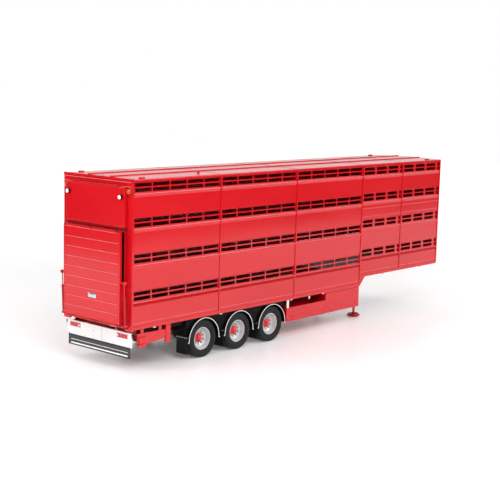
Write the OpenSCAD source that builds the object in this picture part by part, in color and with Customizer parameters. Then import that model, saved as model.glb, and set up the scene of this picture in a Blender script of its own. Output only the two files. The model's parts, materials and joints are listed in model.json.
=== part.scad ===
// Step-frame livestock semi-trailer with four tiers of ventilation slots.
// X runs forward, Y to the left, Z up. The origin is on the ground, under the middle.
// Distances called "station" are measured forward from the rear face of the body.

/* [Body] */
// Length of the body, from its rear face to its front wall
body_l = 13600; // [12000:100:14500]
// Overall width
body_w = 2550; // [2350:50:2600]
// Height of the roof's side edge above the ground
roof_edge_h = 4775; // [4650:25:5000]
// Station of the step between the rear body and the gooseneck
step_station = 9350; // [8900:50:10000]
// Height of the underside of the rear side sills
rear_sill_h = 1090; // [1085:5:1130]
// Height of the underside of the gooseneck's side sills
neck_sill_h = 1352; // [1330:10:1420]
// Height of a side sill
sill_t = 80; // [60:5:85]
// How far the closed ramp stands out behind the rear face
tail_depth = 200; // [190:5:260]

/* [Side walls] */
// Sheet thickness of the walls, floors and decks
sheet_t = 4; // [3:1:8]
// Heights of the middles of the rear body's slot rows
rear_rows = [1920, 2840, 3720, 4574];
// Heights of the middles of the gooseneck's slot rows
neck_rows = [2073, 2967, 3766, 4561];
// Height of one slot in the rear body
rear_slot_h = 92; // [50:2:96]
// Height of one slot in the gooseneck
neck_slot_h = 90; // [50:2:96]
// Bar between the upper and lower slot of a row
slot_bar = 34; // [25:1:60]
// Mullion between two slots of a rear panel
slot_gap = 48; // [40:2:100]
// Number of slot columns in a rear panel
rear_columns = 5; // [3:1:7]
// Width of a pillar
pillar_w = 40; // [30:5:60]

/* [Running gear] */
// Outer diameter of a tyre
tyre_d = 996; // [940:4:1010]
// Width of a tyre
tyre_w = 385; // [350:5:400]
// Seat diameter of the rim
rim_d = 590; // [560:5:600]
// Distance between neighbouring axles
axle_pitch = 1355; // [1310:5:1420]
// Station of the rear axle
axle_station = 2573; // [2500:10:2700]
// Distance between the middles of the tyres of one axle
track = 2090; // [2000:10:2100]
// Inner radius of a mudguard
guard_r = 556; // [545:1:562]
// Outer radius of the round axle beam
axle_r = 63; // [50:1:75]

/* [Coupling and legs] */
// Height of the coupler plate's underside
coupler_h = 1250; // [1150:10:1280]
// Diameter of the kingpin
kingpin_d = 50.8; // [50.8:0.1:90]
// Distance of the kingpin behind the front wall
kingpin_back = 1600; // [1500:10:1800]
// Station of the landing legs
leg_station = 9850; // [9700:10:10100]
// Distance of a landing leg from the centre line
leg_y = 720; // [700:5:760]
// Radius of an inner landing leg
leg_r = 38; // [30:1:42]

/* [Tail] */
// Height of the ramp's hinge pin
hinge_h = 1185; // [1170:5:1200]
// Height of the ramp's top edge
ramp_top_h = 3530; // [3400:10:3600]
// Half width of the ramp
ramp_half_w = 1050; // [1030:5:1080]
// Half width of the upper door
door_half_w = 1085; // [1060:5:1100]
// Radius of the ramp's hinge pin
hinge_pin_r = 12; // [8:1:14]
// Distance of the ram's upper pivot above the ramp's hinge
ram_reach = 1080; // [900:10:1200]

/* [Hidden] */
$fn = 64;

running_clearance = 0.05;
joint_gap = 0.5;
nudge = 1;

red = [0.86, 0.03, 0.07];
dark_red = [0.55, 0.02, 0.04];
black = [0.05, 0.05, 0.055];
silver = [0.78, 0.79, 0.8];
white = [0.92, 0.92, 0.9];
steel = [0.5, 0.51, 0.53];
amber = [0.95, 0.5, 0.05];

half_w = body_w / 2;
rear_x = -(body_l + tail_depth) / 2 + tail_depth;
rear_sill_top = rear_sill_h + sill_t;
neck_sill_top = neck_sill_h + sill_t;
cant_h = 60;
cant_bottom = roof_edge_h - cant_h;
roof_in = half_w - 70;
crown = 24;
skin_y = half_w - 17;
nose_y = half_w - 5;
recess_y = half_w - 33;
pillar_depth = 88;
sill_in = 45;
floor_half_w = half_w - sill_in;
floor_top = hinge_h + sheet_t;
neck_floor_top = neck_sill_top + 6;

// Seams between the wall panels, as stations, front to rear of each section
rear_pitch = round(step_station / 3);
neck_split = 0.493;
seams = [
    0, rear_pitch, 2 * rear_pitch, step_station,
    round(step_station + neck_split * (body_l - step_station)), body_l
];

rail_y = 560;
rail_w = 120;
rail_web = 8;
web_out = rail_y + rail_web / 2;
rail_flange = 10;
step_plate = 24;
rail_bottom = 700;
rail_top = rear_sill_h;
neck_rail_top = coupler_h + 130;
neck_rail_w = 100;
rail_rear = 160;

hub_h = tyre_d / 2;
axle_stations = [for (i = [0:2]) axle_station + i * axle_pitch];
tyre_y = track / 2;
arm_pivot = 480;
arm_pivot_h = 600;
arm_y = 560;
arm_t = 60;
bellows_back = 340;
bellows_r = 110;
guard_t = 4;
guard_in = half_w - 400;
guard_out = half_w - 14;
spindle_r = 40;
spindle_reach = 45;
disc_y = -26;

ramp_out = -tail_depth;
ramp_t = 100;
ramp_in = ramp_out + ramp_t;
hinge_x = (ramp_out + ramp_in) / 2;
knuckle_r = 24;
ramp_bottom_h = hinge_h + 38;
frame_tube = 60;
post_in = 1040;
collar_t = 12;
opening_half = post_in - 40;
door_t = 80;
door_out = -90;
door_bottom_h = ramp_top_h + 60;
door_top_h = roof_edge_h - 190;
door_hinge_h = door_top_h + 22;
door_hinge_x = door_out + door_t / 2;
plank_pitch = 250;

ram_y = 1163;
ram_pin_r = 15;
ram_foot_x = hinge_x + 39;
ram_foot_h = hinge_h + 22.5;
ram_head_x = hinge_x;
ram_head_h = hinge_h + ram_reach;
ram_barrel_r = 30;
ram_rod_r = 14;
ram_eye_clear = 18;
ram_barrel_l = 720;
ram_len = sqrt(pow(ram_head_x - ram_foot_x, 2) + pow(ram_head_h - ram_foot_h, 2));
ram_tilt = atan2(ram_head_x - ram_foot_x, ram_head_h - ram_foot_h);

leg_tube = 110;
leg_tube_bottom = 560;
leg_top = 860;
pad_r = 200;
pad_h = 110;
pad_pivot_h = 135;

locker_depth = 520;
locker_rear = 7695;
locker_front = step_station - 8;
locker_bottom = 470;
locker_top = rear_sill_h;
locker_wall = 4;
box_rear = 5910;
box_top = 860;
box_bottom = 462;
door_skin = 3;
hinge_r = 6;
door_hinge_y = half_w - 7.5;
door_hinge_z = locker_top - 30;

deck_frame_h = 50;
deck_gap = 8;
deck_half_w = half_w - pillar_depth - deck_gap;
deck_rear = 80;
shoe_w = 60;
deck_heights = [2140, 3190, 3950];

// Moves children from stations into the frame
module at_rear() {
    translate([rear_x, 0, 0]) children();
}

// Draws children on the left and their mirror image on the right
module both_sides() {
    children();
    mirror([0, 1, 0]) children();
}

// A block between two corners
module block(x, y, z) {
    translate([x[0], y[0], z[0]]) cube([x[1] - x[0], y[1] - y[0], z[1] - z[0]]);
}

// A round bar along Y
module bar_y(x, z, r, y) {
    translate([x, y[0], z]) rotate([-90, 0, 0]) cylinder(r = r, h = y[1] - y[0]);
}

// A round bar along X
module bar_x(y, z, r, x) {
    translate([x[0], y, z]) rotate([0, 90, 0]) cylinder(r = r, h = x[1] - x[0]);
}

// An outline in X and Z, extruded along Y
module plate_xz(points, y) {
    translate([0, y[1], 0]) rotate([90, 0, 0]) linear_extrude(y[1] - y[0]) polygon(points);
}

// An outline in Y and Z, extruded along X
module plate_yz(points, x) {
    translate([x[0], 0, 0]) rotate([90, 0, 90]) linear_extrude(x[1] - x[0]) polygon(points);
}

// ---- chassis ----

// An I-beam along X
module i_beam(x, y, z, w) {
    block(x, [y - w / 2, y + w / 2], [z[0], z[0] + rail_flange]);
    block(x, [y - w / 2, y + w / 2], [z[1] - rail_flange, z[1]]);
    block(x, [y - rail_web / 2, y + rail_web / 2],
          [z[0] + rail_flange - nudge, z[1] - rail_flange + nudge]);
}

// A channel across the trailer, open towards the front
module cross_channel(station, z) {
    w = 50;
    wall = 5;
    difference() {
        block([station - w / 2, station + w / 2], [-floor_half_w, floor_half_w], z);
        block([station - w / 2 + wall, station + w / 2 + nudge],
              [-floor_half_w - nudge, floor_half_w + nudge], [z[0] + wall, z[1] - wall]);
    }
}

module arm_hanger(station) {
    bolt_r = 16;
    cheek = 14;
    difference() {
        union() {
            for (side = [-1, 1]) {
                y0 = arm_y + side * (arm_t / 2 + 2 + cheek / 2);
                block([station - 70, station + 70], [y0 - cheek / 2, y0 + cheek / 2],
                      [arm_pivot_h - 60, rail_bottom + nudge]);
            }
            block([station - 70, station + 70],
                  [arm_y - arm_t / 2 - 2 - cheek, arm_y + arm_t / 2 + 2 + cheek],
                  [rail_bottom - 12, rail_bottom + nudge]);
        }
        bar_y(station, arm_pivot_h, bolt_r + 0.2, [0, half_w]);
    }
    bar_y(station, arm_pivot_h, bolt_r,
          [arm_y - arm_t / 2 - 2 - cheek - 8, arm_y + arm_t / 2 + 2 + cheek + 8]);
    for (side = [-1, 1])
        bar_y(station, arm_pivot_h, bolt_r + 10,
              [arm_y + side * (arm_t / 2 + 2 + cheek + 6) - 6,
               arm_y + side * (arm_t / 2 + 2 + cheek + 6) + 6]);
}

module chassis_rails() {
    color(dark_red) at_rear() both_sides() {
        i_beam([rail_rear, step_station], rail_y, [rail_bottom, rail_top], rail_w);
        block([step_station - step_plate, step_station],
              [rail_y - neck_rail_w / 2, rail_y + neck_rail_w / 2],
              [rail_bottom, neck_rail_top]);
        i_beam([step_station - nudge, body_l - 60], rail_y,
               [coupler_h + 10, neck_rail_top], neck_rail_w);
        plate_xz([[step_station - nudge, rail_bottom + 250], [step_station + 60, rail_bottom + 250],
                  [step_station + 330, coupler_h + 11], [step_station - nudge, coupler_h + 11]],
                 [rail_y - 10, rail_y + 10]);
        for (station = axle_stations) arm_hanger(station + arm_pivot);
    }
}

module cross_members() {
    count = 20;
    pitch = (step_station - 400) / (count - 1);
    neck_count = 8;
    neck_pitch = (body_l - step_station - 400) / (neck_count - 1);
    color(dark_red) at_rear() {
        for (i = [0:count - 1])
            cross_channel(130 + i * pitch, [rail_top, floor_top - sheet_t]);
        for (i = [0:neck_count - 1])
            cross_channel(step_station + 150 + i * neck_pitch,
                          [neck_rail_top, neck_floor_top - sheet_t]);
    }
}

module floors() {
    rib_pitch = 300;
    color(silver) at_rear() {
        block([50, step_station - 30], [-floor_half_w, floor_half_w],
              [floor_top - sheet_t, floor_top]);
        for (x = [450:rib_pitch:step_station - 300])
            block([x, x + 12], [-floor_half_w + 120, floor_half_w - 120],
                  [floor_top - nudge, floor_top + 8]);
        block([step_station - 30, body_l - 6], [-floor_half_w, floor_half_w],
              [neck_floor_top - sheet_t, neck_floor_top]);
        for (x = [step_station + 300:rib_pitch:body_l - 300])
            block([x, x + 12], [-floor_half_w + 120, floor_half_w - 120],
                  [neck_floor_top - nudge, neck_floor_top + 8]);
    }
}

module coupler_plate() {
    plate_l = 1500;
    centre = body_l - kingpin_back;
    color(steel) at_rear() difference() {
        block([centre - 500, centre - 500 + plate_l],
              [-rail_y - 60, rail_y + 60], [coupler_h, coupler_h + 10]);
        translate([centre, 0, coupler_h - nudge]) cylinder(r = kingpin_d / 2 + 12, h = 12);
    }
}

module kingpin() {
    pin_l = 84;
    head_h = 35;
    groove_r = 36.5;
    flange_r = kingpin_d / 2 + 12 - joint_gap;
    color(silver) at_rear() translate([body_l - kingpin_back, 0, 0]) {
        translate([0, 0, coupler_h]) cylinder(r = flange_r, h = 10);
        translate([0, 0, coupler_h - head_h]) cylinder(r = groove_r, h = head_h);
        translate([0, 0, coupler_h - pin_l + 12])
            cylinder(r = kingpin_d / 2, h = pin_l - 12 - head_h + nudge);
        translate([0, 0, coupler_h - pin_l]) cylinder(r = groove_r, h = 12);
        translate([0, 0, coupler_h + 10]) cylinder(r = 150, h = 20);
    }
}

// ---- side walls ----

// Outer outline of a formed sheet, from bottom to top, with one bead under each slot row
function row_outline(row, slot_h) = let (
    top = row + slot_bar / 2 + slot_h + 15,
    bottom = row - slot_bar / 2 - slot_h - 12)
    [[skin_y, bottom - 112], [nose_y, bottom - 34], [recess_y, bottom],
     [recess_y, top], [skin_y, top + 14]];

function sheet_outline(z, rows, slot_h, beads) = concat(
    [[skin_y, z[0]]],
    [for (i = [0:len(rows) - 1]) each concat(
        row_outline(rows[i], slot_h),
        [for (b = beads) if (b > rows[i] && (i == len(rows) - 1 || b < rows[i + 1]))
            each [[skin_y, b - 26], [skin_y + 8, b], [skin_y, b + 12]]])],
    [[skin_y, z[1]]]);

function moved(points, dy) = [for (p = points) [p[0] + dy, p[1]]];
function backwards(points) = [for (i = [len(points) - 1:-1:0]) points[i]];

// A formed wall sheet with its slots; columns lists [start, width] as stations
module wall_sheet(x, z, rows, slot_h, columns, beads = []) {
    outline = sheet_outline(z, rows, slot_h, beads);
    difference() {
        plate_yz(concat(outline, backwards(moved(outline, -sheet_t))), x);
        for (row = rows)
            for (side = [-1, 1])
                for (column = columns)
                    translate([column[0], recess_y - 3 * sheet_t,
                               row + side * (slot_bar + slot_h) / 2 - slot_h / 2])
                        cube([column[1], 4 * sheet_t, slot_h]);
    }
}

function rear_slots(x) = let (
    margin = 42,
    width = (x[1] - x[0] - 2 * margin - (rear_columns - 1) * slot_gap) / rear_columns)
    [for (i = [0:rear_columns - 1]) [x[0] + margin + i * (width + slot_gap), width]];

function neck_slots(x) = let (
    margin = 75, gap = 118, narrow = 105,
    width = (x[1] - x[0] - margin - 3 * gap - narrow - 8) / 3)
    concat([for (i = [0:2]) [x[0] + margin + i * (width + gap), width]],
           [[x[0] + margin + 3 * (width + gap), narrow]]);

module side_panels() {
    rear_z = [rear_sill_top, cant_bottom];
    neck_z = [neck_sill_top, cant_bottom];
    for (i = [0:2]) {
        x = [seams[i] + (i == 0 ? 50 : pillar_w / 2), seams[i + 1] - pillar_w / 2];
        wall_sheet(x, rear_z, rear_rows, rear_slot_h, rear_slots(x));
    }
    for (i = [3:4]) {
        x = [seams[i] + pillar_w / 2, seams[i + 1] - (i == 4 ? 40 : pillar_w / 2)];
        wall_sheet(x, neck_z, neck_rows, neck_slot_h, neck_slots(x), [3195, 3440]);
    }
}

module side_panels_left() {
    color(red) at_rear() side_panels();
}

module side_panels_right() {
    color(red) at_rear() mirror([0, 1, 0]) side_panels();
}

// Each pillar is a cover strip outside, a web, and a rail inside that guides the decks
module side_pillars() {
    strip = 40;
    rail = 10;
    web = 8;
    color(red) at_rear() both_sides()
        for (i = [1:4]) {
            bottom = i < 4 ? rear_sill_top : neck_sill_top;
            foot = i < 3 ? floor_top : neck_floor_top;
            x = [seams[i] - pillar_w / 2, seams[i] + pillar_w / 2];
            block(x, [half_w - strip, half_w], [bottom, cant_bottom]);
            block([seams[i] - web / 2, seams[i] + web / 2],
                  [half_w - pillar_depth, half_w - strip + nudge], [foot, cant_bottom]);
            block(x, [half_w - pillar_depth, half_w - pillar_depth + rail], [foot, cant_bottom]);
        }
}

// A channel along the body's lower edge, open towards the inside
module sill_channel(x, bottom) {
    wall = 6;
    difference() {
        block(x, [half_w - sill_in, half_w], [bottom, bottom + sill_t]);
        block([x[0] - nudge, x[1] + nudge], [half_w - sill_in - nudge, half_w - wall],
              [bottom + wall, bottom + sill_t - wall]);
    }
}

module side_sills() {
    corner_r = 55;
    knee = step_station + pillar_w / 2;
    color(red) at_rear() both_sides() {
        sill_channel([50, knee], rear_sill_h);
        difference() {
            sill_channel([knee, body_l], neck_sill_h);
            translate([body_l - corner_r, 0, neck_sill_h + corner_r]) difference() {
                block([0, corner_r + nudge], [0, body_w], [-corner_r - nudge, 0]);
                bar_y(0, 0, corner_r, [-nudge, body_w + nudge]);
            }
        }
        plate_xz([[knee - nudge, rear_sill_h], [knee + 4, rear_sill_h],
                  [knee + 250, neck_sill_h + nudge], [knee, neck_sill_h + nudge],
                  [knee, rear_sill_top], [knee - nudge, rear_sill_top]],
                 [half_w - sill_in, half_w - 8]);
    }
}

module end_walls() {
    rib_h = 40;
    color(red) at_rear() {
        block([body_l - 6, body_l], [-half_w, half_w], [neck_sill_top, cant_bottom]);
        plate_yz([[-roof_in, cant_bottom - nudge], [roof_in, cant_bottom - nudge],
                  [roof_in, roof_edge_h - 50], [roof_in - 6, roof_edge_h - 50],
                  [roof_in - 6, roof_edge_h - sheet_t], [0, roof_edge_h + crown - sheet_t],
                  [-roof_in + 6, roof_edge_h - sheet_t], [-roof_in + 6, roof_edge_h - 50],
                  [-roof_in, roof_edge_h - 50]], [body_l - 6, body_l]);
        both_sides() block([body_l - 40, body_l - 5], [half_w - 42, half_w],
                           [neck_sill_top, cant_bottom]);
        for (z = [2100:700:4400])
            block([body_l - 6 - rib_h, body_l - 5], [-1150, 1150], [z, z + 60]);
        block([step_station - 30, step_station - step_plate],
              [-(half_w - 95), half_w - 95], [floor_top, neck_floor_top - sheet_t]);
    }
}

module cant_rails() {
    edge_r = 26;
    wall = 7;
    color(red) at_rear() both_sides()
        translate([50, 0, 0]) rotate([90, 0, 90]) linear_extrude(body_l - 50) difference() {
            union() {
                translate([roof_in, cant_bottom]) square([70 - edge_r, cant_h]);
                translate([roof_in, cant_bottom]) square([70, cant_h - edge_r]);
                translate([half_w - edge_r, roof_edge_h - edge_r]) circle(r = edge_r);
            }
            translate([roof_in + wall, cant_bottom + wall])
                square([70 - 2 * wall, cant_h - 2 * wall - 8]);
        }
}

module roof() {
    rib = 22;
    rib_y = 415;
    in = roof_in;
    sheet = [[-in, roof_edge_h], [-in, roof_edge_h - 50],
             [-in + 6, roof_edge_h - 50], [-in + 6, roof_edge_h - sheet_t],
             [0, roof_edge_h + crown - sheet_t],
             [in - 6, roof_edge_h - sheet_t], [in - 6, roof_edge_h - 50],
             [in, roof_edge_h - 50], [in, roof_edge_h], [0, roof_edge_h + crown]];
    color(red) at_rear() {
        plate_yz(sheet, [50, body_l]);
        for (side = [-1, 1]) {
            low = roof_edge_h + crown * (1 - (rib_y - 30) / in) - sheet_t + 0.5;
            block([60, body_l - 5], [side * rib_y - 30, side * rib_y + 30], [low, low + rib + 3]);
        }
        for (x = [430, 13000]) for (side = [-1, 1])
            block([x - 60, x + 60], [side * 1120 - 45, side * 1120 + 45],
                  [roof_edge_h, roof_edge_h + 34]);
        block([2670, 2730], [-840, -800], [roof_edge_h + 4, roof_edge_h + 50]);
    }
}

// ---- tail ----

module rear_frame() {
    color(red) at_rear() {
        both_sides() {
            difference() {
                block([0, 50], [post_in, half_w], [rear_sill_h - 30, roof_edge_h]);
                block([6, 51], [post_in + 6, half_w - 45], [rear_sill_top, door_top_h - 20]);
            }
            block([ramp_in + 4, 50], [opening_half, post_in], [floor_top, ramp_top_h - 10]);
            ram_bracket();
        }
        difference() {
            block([0, 50], [-post_in, post_in], [door_top_h, roof_edge_h]);
            block([6, 51], [-post_in + 6, post_in - 6], [door_top_h + 6, roof_edge_h - 20]);
        }
        block([-18, 50], [-half_w, half_w], [roof_edge_h - 42, roof_edge_h + 14]);
        block([-14, 0 + nudge], [-post_in, post_in], [door_top_h + 46, door_top_h + 62]);
        block([-6, 50], [-post_in, post_in], [ramp_top_h, door_bottom_h]);
        difference() {
            plate_xz([[ramp_in + 4, floor_top - sheet_t], [ramp_in + 4, floor_top - 42],
                      [120, rear_sill_h - 30], [160, rear_sill_h - 30], [160, rail_top],
                      [100, rail_top], [100, floor_top - sheet_t]],
                     [-floor_half_w, floor_half_w]);
            both_sides() block([ramp_in, 0], [ram_y - 50, half_w], [rear_sill_h, floor_top]);
        }
        block([ramp_in + 4, 50], [-opening_half - nudge, opening_half + nudge],
              [floor_top - sheet_t - nudge, floor_top]);
        for (y = [-900, 0, 900]) hinge_knuckle(y, 60);
        bar_y(hinge_x, hinge_h, hinge_pin_r, [-1000, 1000]);
        for (y = [-800, 800]) door_knuckle(y, 50);
        bar_y(door_hinge_x, door_hinge_h, 8, [-960, 960]);
    }
}

module hinge_knuckle(y, w) {
    bar_y(hinge_x, hinge_h, knuckle_r, [y - w / 2, y + w / 2]);
    block([hinge_x, ramp_in + 6], [y - w / 2, y + w / 2], [hinge_h - knuckle_r, hinge_h - 4]);
}

module door_knuckle(y, w) {
    bar_y(door_hinge_x, door_hinge_h, 16, [y - w / 2, y + w / 2]);
    block([door_hinge_x, nudge], [y - w / 2, y + w / 2], [door_hinge_h, door_hinge_h + 16]);
}

// Fork on the corner post that carries the foot of a lifting ram
module ram_bracket() {
    ear = 12;
    for (side = [-1, 1]) {
        y0 = ram_y + side * (25 + ear / 2);
        block([ram_foot_x - 28, nudge], [y0 - ear / 2, y0 + ear / 2],
              [ram_foot_h - 28, ram_foot_h + 28]);
    }
    bar_y(ram_foot_x, ram_foot_h, ram_pin_r, [ram_y - 25 - ear, ram_y + 25 + ear]);
}

module tail_ramp() {
    groove = 9;
    planks = floor((ramp_top_h - ramp_bottom_h - 40) / plank_pitch);
    color(red) at_rear() {
        difference() {
            block([ramp_out, ramp_out + 14], [-ramp_half_w, ramp_half_w],
                  [ramp_bottom_h, ramp_top_h]);
            for (i = [0:planks])
                plate_xz([[ramp_out - nudge, ramp_top_h - 34 - i * plank_pitch],
                          [ramp_out + groove, ramp_top_h - 40 - i * plank_pitch],
                          [ramp_out + groove, ramp_top_h - 52 - i * plank_pitch],
                          [ramp_out - nudge, ramp_top_h - 56 - i * plank_pitch]],
                         [-ramp_half_w + 60, ramp_half_w - 60]);
        }
        both_sides() block([ramp_out + 14, ramp_in - 4],
                           [ramp_half_w - frame_tube, ramp_half_w], [ramp_bottom_h, ramp_top_h]);
        for (z = [ramp_bottom_h, ramp_top_h - frame_tube])
            block([ramp_out + 14, ramp_in - 4],
                  [-ramp_half_w + frame_tube, ramp_half_w - frame_tube], [z, z + frame_tube]);
        for (y = [-820, -80, 80, 820]) ramp_knuckle(y, 60);
        both_sides() ramp_lug();
    }
}

module ramp_knuckle(y, w) {
    difference() {
        union() {
            bar_y(hinge_x, hinge_h, knuckle_r, [y - w / 2, y + w / 2]);
            block([hinge_x - 20, hinge_x + 20], [y - w / 2, y + w / 2],
                  [hinge_h, ramp_bottom_h + nudge]);
        }
        bar_y(hinge_x, hinge_h, hinge_pin_r + running_clearance, [y - w, y + w]);
    }
}

// Stub on the ramp's side that the head of a lifting ram fits round
module ramp_lug() {
    bar_y(ram_head_x, ram_head_h, 34, [ramp_half_w - nudge, ramp_half_w + 60]);
    bar_y(ram_head_x, ram_head_h, ram_pin_r, [ramp_half_w + 59, ram_y + 24]);
    bar_y(ram_head_x, ram_head_h, 44, [ram_y + 24, ram_y + 30]);
}

module ramp_floor() {
    cleat_pitch = 200;
    cleats = floor((ramp_top_h - ramp_bottom_h - 200) / cleat_pitch);
    color(silver) at_rear() {
        block([ramp_in - 4, ramp_in], [-ramp_half_w + 4, ramp_half_w - 4],
              [ramp_bottom_h, ramp_top_h]);
        for (i = [0:cleats]) {
            z = ramp_bottom_h + 120 + i * cleat_pitch;
            block([ramp_in - nudge, ramp_in + 28], [-opening_half + 60, opening_half - 60],
                  [z, z + 32]);
        }
    }
}

module upper_door() {
    color(red) at_rear() {
        block([door_out, door_out + 6], [-door_half_w, door_half_w],
              [door_bottom_h + 6, door_top_h]);
        for (y = [-door_half_w, door_half_w - 50])
            block([door_out + 6, door_out + door_t], [y, y + 50], [door_bottom_h + 6, door_top_h]);
        for (z = [door_bottom_h + 6, door_top_h - 50])
            block([door_out + 6, door_out + door_t], [-door_half_w + 50, door_half_w - 50],
                  [z, z + 50]);
        for (z = [door_top_h - 86, door_top_h - 405])
            block([door_out - 8, door_out + nudge], [-790, -425], [z - 8, z + 8]);
        for (y = [-740, 740]) difference() {
            union() {
                bar_y(door_hinge_x, door_hinge_h, 16, [y - 30, y + 30]);
                block([door_hinge_x - 12, door_hinge_x + 12], [y - 30, y + 30],
                      [door_top_h - nudge, door_hinge_h]);
            }
            bar_y(door_hinge_x, door_hinge_h, 8 + running_clearance, [y - 60, y + 60]);
        }
    }
}

module work_lamps() {
    lamp_h = 4340;
    lamp_r = 62;
    color(white) at_rear() for (side = [-1, 1]) {
        translate([door_out - 30, side * 970, lamp_h]) rotate([0, 90, 0])
            cylinder(r = 22, h = 30);
        difference() {
            translate([door_out - 62, side * 970, lamp_h]) sphere(r = lamp_r - 22);
            block([door_out - 62, door_out], [side * 970 - 90, side * 970 + 90],
                  [lamp_h - 90, lamp_h + 90]);
        }
        translate([door_out - 62, side * 970, lamp_h]) rotate([0, 90, 0])
            cylinder(r = lamp_r - 18, h = 36);
    }
}

module corner_lamps() {
    lamp_h = roof_edge_h - 295;
    color(amber) at_rear() for (side = [-1, 1])
        translate([0, side * 1172, lamp_h]) rotate([0, -90, 0]) {
            cylinder(r = 72, h = 46);
            cylinder(r = 52, h = 60);
        }
}

module rear_bumper() {
    color(white) at_rear() {
        block([58, 94], [-1205, 1205], [640, 1000]);
        both_sides() block([94, rail_rear], [rail_y - 55, rail_y + 55], [rail_bottom, 1000]);
    }
}

module tail_lamps() {
    color(red) at_rear() for (side = [-1, 1]) for (i = [0:2])
        block([42, 58], [side * 890 - 198 + i * 133, side * 890 - 198 + i * 133 + 130],
              [845, 965]);
}

module spray_flap() {
    color(black) at_rear() block([66, 74], [-1170, 1170], [360, 640]);
}

module tail_skirts() {
    y_out = 1215;
    color(red) at_rear() both_sides() {
        difference() {
            plate_xz([[254, 668], [565, 671], [1136, 727], [1192, 745], [1192, 955], [254, 965]],
                     [y_out - 40, y_out]);
            block([300, 480], [y_out - 34, y_out + nudge], [700, 850]);
        }
        block([300, 480], [y_out - 30, y_out + 14], [700, 850]);
        block([290, 540], [y_out, y_out + 20], [610, 690]);
        block([290, 540], [y_out, y_out + 20], [860, 880]);
        for (x = [980, 360]) block([x, x + 110], [y_out - 30, y_out - 10], [950, rear_sill_h]);
        block([1228, 1390], [y_out - 60, y_out], [600, rear_sill_h]);
        block([1190, 1230], [y_out - 30, y_out - 10], [780, 920]);
        for (x = [420, 1300])
            block([x - 30, x + 30], [web_out, y_out - 39], [800, 860]);
    }
}

// ---- running gear ----

module tyre_body() {
    shoulder = 34;
    bead = rim_d / 2;
    half = tyre_w / 2;
    r = tyre_d / 2;
    rotate([90, 0, 0]) rotate_extrude($fn = 96) difference() {
        polygon([[bead, -half + 55], [bead + 16, -half + 55], [bead + 45, -half + 12],
                 [r - 110, -half],
                 [r - shoulder, -half + 10], [r - 8, -half + 36], [r, -half + 60],
                 [r, half - 60], [r - 8, half - 36], [r - shoulder, half - 10],
                 [r - 110, half], [bead + 45, half - 12], [bead + 16, half - 55],
                 [bead, half - 55],
                 [bead, half - 75], [bead + 40, half - 55], [r - 60, half - 48],
                 [r - 60, -half + 48], [bead + 40, -half + 55], [bead, -half + 75]]);
        for (i = [-1.5:1:1.5])
            translate([r - 14, i * 62 - 5]) square([20, 10]);
    }
}

// Outboard is towards +Y here
module wheel_body() {
    r = rim_d / 2 - joint_gap;
    half = 149;
    hole_r = 20;
    hole_pcr = 152;
    rotate([-90, 0, 0]) difference() {
        union() {
            rotate_extrude($fn = 96) {
                polygon([[r - 12, -half], [r + 14, -half], [r + 14, -half + 9], [r, -half + 11],
                         [r, half - 11], [r + 14, half - 9], [r + 14, half], [r - 12, half],
                         [r - 30, half - 30], [r - 44, half - 70], [r - 52, half - 110],
                         [r - 52, -half + 60], [r - 30, -half + 30]]);
                polygon([[spindle_r - 1, disc_y], [140, disc_y], [r - 48, disc_y + 62],
                         [r - 48, disc_y + 84], [132, disc_y + 20], [spindle_r - 1, disc_y + 20]]);
            }
            translate([0, 0, disc_y - 6]) cylinder(r = 60, h = 70);
            translate([0, 0, disc_y + 20 - nudge]) cylinder(r = 90, h = 26);
            for (a = [0:36:324]) rotate([0, 0, a])
                translate([80, 0, disc_y + 20]) cylinder(r = 13, h = 42, $fn = 6);
            translate([0, 0, disc_y + 60]) cylinder(r = 52, h = 26);
        }
        for (a = [18:36:342]) rotate([0, 0, a])
            translate([hole_pcr, 0, disc_y - 60]) cylinder(r = hole_r, h = 180);
        translate([0, 0, disc_y - 8]) cylinder(r = spindle_r + running_clearance,
                                               h = 8 + spindle_reach);
    }
}

module place_wheel(index, side) {
    translate([rear_x + axle_stations[index], side * tyre_y, hub_h])
        mirror([0, side < 0 ? 1 : 0, 0]) children();
}

module tyre(index, side) {
    color(black) place_wheel(index, side) tyre_body();
}

module wheel(index, side) {
    color(silver) place_wheel(index, side) wheel_body();
}

module tyre_rear_right() { tyre(0, -1); }
module tyre_rear_left() { tyre(0, 1); }
module tyre_middle_right() { tyre(1, -1); }
module tyre_middle_left() { tyre(1, 1); }
module tyre_front_right() { tyre(2, -1); }
module tyre_front_left() { tyre(2, 1); }
module wheel_rear_right() { wheel(0, -1); }
module wheel_rear_left() { wheel(0, 1); }
module wheel_middle_right() { wheel(1, -1); }
module wheel_middle_left() { wheel(1, 1); }
module wheel_front_right() { wheel(2, -1); }
module wheel_front_left() { wheel(2, 1); }

module axle(index) {
    x = axle_stations[index];
    spindle_end = tyre_y + disc_y + spindle_reach - joint_gap;
    color(steel) at_rear() {
        bar_y(x, hub_h, axle_r, [-tyre_y + 150, tyre_y - 150]);
        both_sides() {
            bar_y(x, hub_h, spindle_r, [tyre_y - 151, spindle_end]);
            brake_drum(x);
            trailing_arm(x);
            bar_x(rail_y - 150, hub_h - 20, 70, [x - 330, x - 150]);
            block([x - 160, x - 40], [rail_y - 175, rail_y - 125], [hub_h - 45, hub_h + 20]);
        }
    }
}

// Open drum round the spindle
module brake_drum(x) {
    difference() {
        bar_y(x, hub_h, 200, [tyre_y - 190, tyre_y - 45]);
        bar_y(x, hub_h, 180, [tyre_y - 180, tyre_y - 44]);
    }
}

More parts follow.
